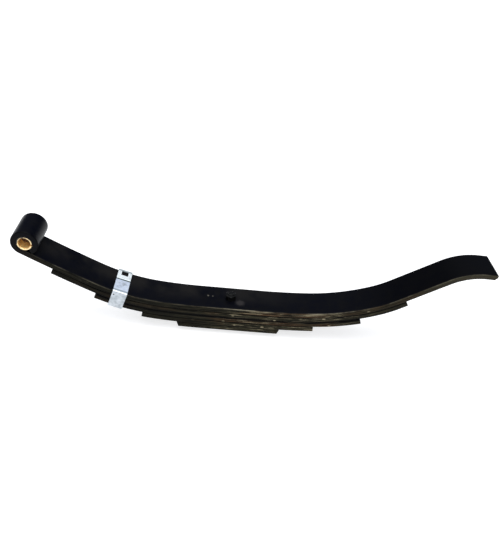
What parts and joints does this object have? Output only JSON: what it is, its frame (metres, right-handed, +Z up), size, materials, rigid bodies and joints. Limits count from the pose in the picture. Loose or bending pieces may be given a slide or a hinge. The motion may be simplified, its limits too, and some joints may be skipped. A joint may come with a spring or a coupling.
{
  "type": "leaf spring",
  "caption": "Multi-leaf trailer slipper spring: a bushed, rolled eye at one end, a curled slipper toe at the other, a centre bolt through the leaf pack and a rebound clip.",
  "frame": {"origin": "centre of the eye bush's bore, in the middle of the spring's width", "axes": "+X from the eye to the slipper toe, parallel to the axle seat; +Y across the leaves, along the eye's bore; +Z up, away from the axle"},
  "size_m": [0.6651, 0.0554, 0.1488],
  "materials": {
    "spring_steel": "thin black paint over rolled spring steel, satin on the faces and worn to brown on the edges",
    "bronze": "rolled bronze strip, bright at the rim",
    "black_bolt": "black oiled steel under overspray",
    "zinc_plate": "bluish zinc plate with grey stains"
  },
  "bodies": {
    "eye_end": {"main_leaf": "spring_steel", "eye_bush": "bronze"},
    "axle_clamp": {"second_leaf": "spring_steel", "third_leaf": "spring_steel", "fourth_leaf": "spring_steel", "fifth_leaf": "spring_steel", "centre_bolt": "black_bolt", "centre_nut": "black_bolt"},
    "clip": {"rebound_clip": "zinc_plate", "clip_rivet": "zinc_plate"}
  },
  "joints": [
    {"name": "spring_deflection", "type": "slide", "parent": "eye_end", "child": "axle_clamp", "axis": [0, 0, 1], "range_m": [0, 0.04], "stiffness_N_per_m": 250000, "deforming": ["main_leaf", "second_leaf", "third_leaf", "fourth_leaf", "fifth_leaf"]},
    {"name": "clip_follow", "type": "hinge", "parent": "eye_end", "child": "clip", "pos_m": [0.06215, 0, -0.06125], "axis": [0, -1, 0], "range_deg": [0, 12.5]}
  ],
  "couplings": [
    {"joint": "clip_follow", "follows": "spring_deflection", "rad_per_m": 5.3354}
  ]
}
